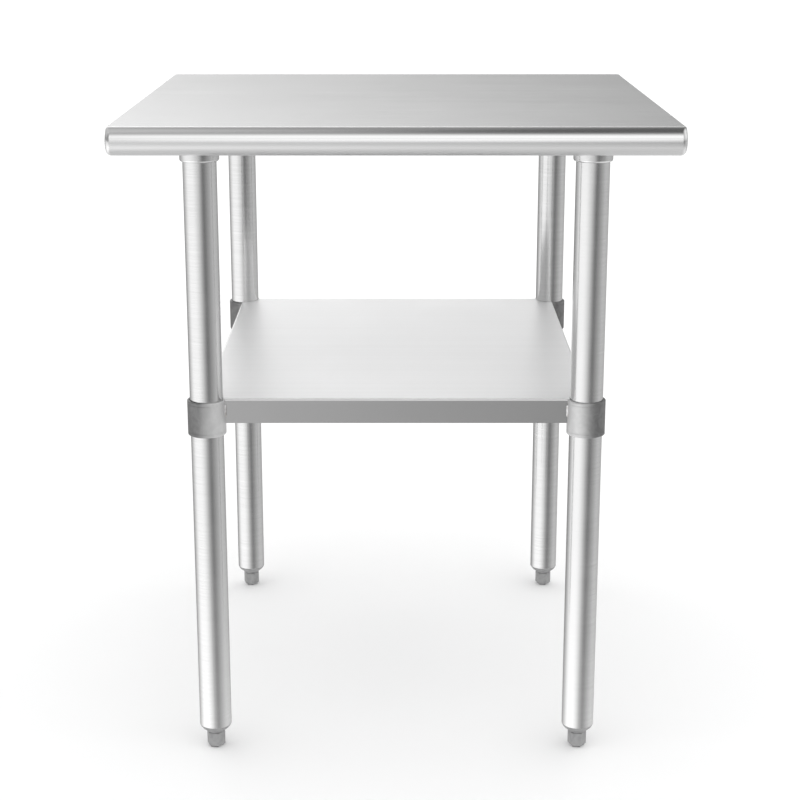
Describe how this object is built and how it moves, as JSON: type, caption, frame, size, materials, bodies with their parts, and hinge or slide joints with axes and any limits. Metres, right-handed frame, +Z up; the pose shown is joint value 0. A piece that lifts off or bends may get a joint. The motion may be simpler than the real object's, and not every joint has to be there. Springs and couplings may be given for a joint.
{
  "type": "stainless work table",
  "caption": "Free-standing stainless kitchen work table with rolled front and rear edges, round legs on adjustable bullet feet and a height-adjustable undershelf.",
  "frame": {"origin": "on the floor, below the middle of the worktop", "axes": "+Z up, +X to the right along the front edge, and the front faces -Y"},
  "size_m": [0.762, 0.7618, 0.914],
  "materials": {
    "top_stainless": "fine brushed along the length",
    "channel_steel": "galvanised, dull",
    "leg_stainless": "polished tube",
    "fitting_steel": "satin",
    "screw_steel": "zinc plated",
    "shelf_stainless": "satin",
    "weld_steel": "as welded, brushed clean",
    "stud_steel": "zinc plated thread",
    "foot_plastic": "grey moulded plastic"
  },
  "bodies": {
    "frame": {"worktop": "top_stainless", "cross_channel_left": "channel_steel", "cross_channel_right": "channel_steel", "centre_channel": "channel_steel", "socket_front_left": "fitting_steel", "socket_front_right": "fitting_steel", "socket_rear_left": "fitting_steel", "socket_rear_right": "fitting_steel", "socket_screws": "screw_steel", "leg_front_left": "leg_stainless", "leg_front_right": "leg_stainless", "leg_rear_left": "leg_stainless", "leg_rear_right": "leg_stainless", "foot_insert_front_left": "foot_plastic", "foot_insert_front_right": "foot_plastic", "foot_insert_rear_left": "foot_plastic", "foot_insert_rear_right": "foot_plastic"},
    "shelf": {"shelf": "shelf_stainless", "shelf_channel": "channel_steel", "shelf_collar_front_left": "fitting_steel", "shelf_collar_front_right": "fitting_steel", "shelf_collar_rear_left": "fitting_steel", "shelf_collar_rear_right": "fitting_steel", "collar_screws": "screw_steel", "shelf_weld_beads": "weld_steel"},
    "stud_front_left": {"foot_stud_front_left": "stud_steel"},
    "bullet_front_left": {"foot_bullet_front_left": "foot_plastic"},
    "stud_front_right": {"foot_stud_front_right": "stud_steel"},
    "bullet_front_right": {"foot_bullet_front_right": "foot_plastic"},
    "stud_rear_left": {"foot_stud_rear_left": "stud_steel"},
    "bullet_rear_left": {"foot_bullet_rear_left": "foot_plastic"},
    "stud_rear_right": {"foot_stud_rear_right": "stud_steel"},
    "bullet_rear_right": {"foot_bullet_rear_right": "foot_plastic"}
  },
  "joints": [
    {"name": "shelf_height", "type": "slide", "parent": "frame", "child": "shelf", "axis": [0, 0, 1], "range_m": [-0.36, 0.28]},
    {"name": "foot_front_left_travel", "type": "slide", "parent": "frame", "child": "stud_front_left", "axis": [0, 0, -1], "range_m": [0, 0.025]},
    {"name": "foot_front_left_turn", "type": "hinge", "parent": "stud_front_left", "child": "bullet_front_left", "pos_m": [-0.265, -0.313, 0], "axis": [0, 0, -1], "range_deg": [0, 4500]},
    {"name": "foot_front_right_travel", "type": "slide", "parent": "frame", "child": "stud_front_right", "axis": [0, 0, -1], "range_m": [0, 0.025]},
    {"name": "foot_front_right_turn", "type": "hinge", "parent": "stud_front_right", "child": "bullet_front_right", "pos_m": [0.265, -0.313, 0], "axis": [0, 0, -1], "range_deg": [0, 4500]},
    {"name": "foot_rear_left_travel", "type": "slide", "parent": "frame", "child": "stud_rear_left", "axis": [0, 0, -1], "range_m": [0, 0.025]},
    {"name": "foot_rear_left_turn", "type": "hinge", "parent": "stud_rear_left", "child": "bullet_rear_left", "pos_m": [-0.265, 0.313, 0], "axis": [0, 0, -1], "range_deg": [0, 4500]},
    {"name": "foot_rear_right_travel", "type": "slide", "parent": "frame", "child": "stud_rear_right", "axis": [0, 0, -1], "range_m": [0, 0.025]},
    {"name": "foot_rear_right_turn", "type": "hinge", "parent": "stud_rear_right", "child": "bullet_rear_right", "pos_m": [0.265, 0.313, 0], "axis": [0, 0, -1], "range_deg": [0, 4500]}
  ],
  "couplings": [
    {"joint": "foot_front_left_turn", "follows": "foot_front_left_travel", "rad_per_m": 3141.5},
    {"joint": "foot_front_right_turn", "follows": "foot_front_right_travel", "rad_per_m": 3141.5},
    {"joint": "foot_rear_left_turn", "follows": "foot_rear_left_travel", "rad_per_m": 3141.5},
    {"joint": "foot_rear_right_turn", "follows": "foot_rear_right_travel", "rad_per_m": 3141.5}
  ]
}
